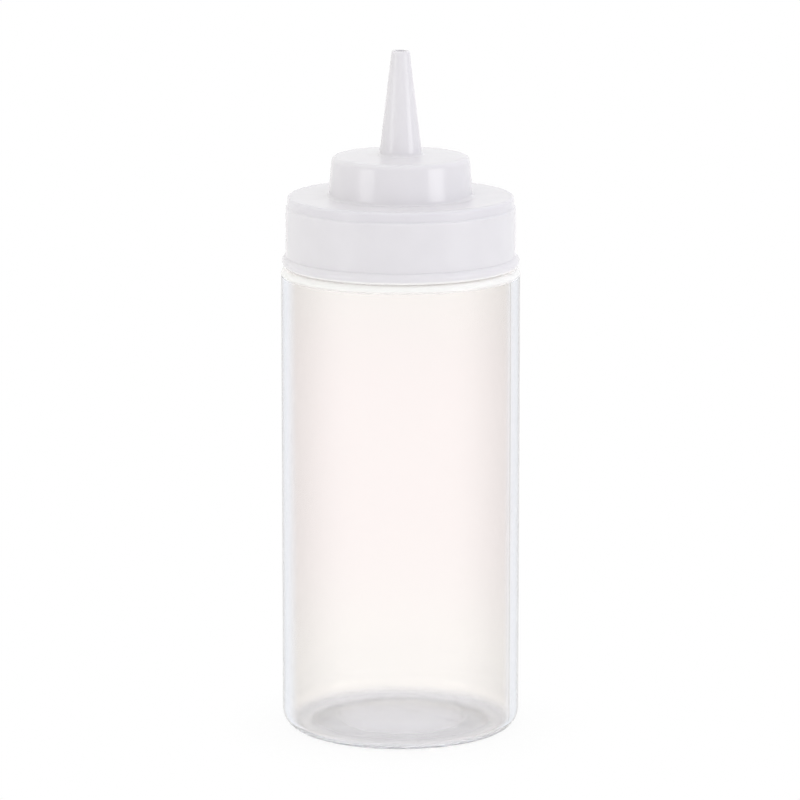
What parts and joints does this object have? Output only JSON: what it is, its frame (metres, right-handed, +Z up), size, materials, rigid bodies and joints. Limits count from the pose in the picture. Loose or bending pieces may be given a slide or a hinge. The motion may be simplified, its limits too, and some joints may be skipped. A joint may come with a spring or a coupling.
{
  "type": "squeeze bottle",
  "caption": "Round translucent squeeze bottle with a wide threaded neck and a screw cap that carries a cone nozzle.",
  "frame": {"origin": "middle of the standing ring under the base, on the table", "axes": "+Z up along the bottle's axis, from the base to the nozzle tip"},
  "size_m": [0.07, 0.07, 0.2015],
  "materials": {
    "bottle_plastic": "translucent soft polyethylene, satin",
    "cap_plastic": "translucent polyethylene, thicker and milkier than the bottle, soft gloss",
    "washer_foam": "soft foamed polyethylene liner, matt"
  },
  "bodies": {
    "bottle": {"bottle": "bottle_plastic"},
    "washer": {"sealing_washer": "washer_foam"},
    "cap": {"screw_cap": "cap_plastic"}
  },
  "joints": [
    {"name": "cap_lift", "type": "slide", "parent": "bottle", "child": "washer", "axis": [0, 0, 1], "range_m": [0, 0.0196]},
    {"name": "cap_turn", "type": "hinge", "parent": "washer", "child": "cap", "pos_m": [0, 0, 0.15], "axis": [0, 0, 1], "range_deg": [0, 1170]}
  ],
  "couplings": [
    {"joint": "cap_lift", "follows": "cap_turn", "m_per_rad": 0.00095493}
  ]
}
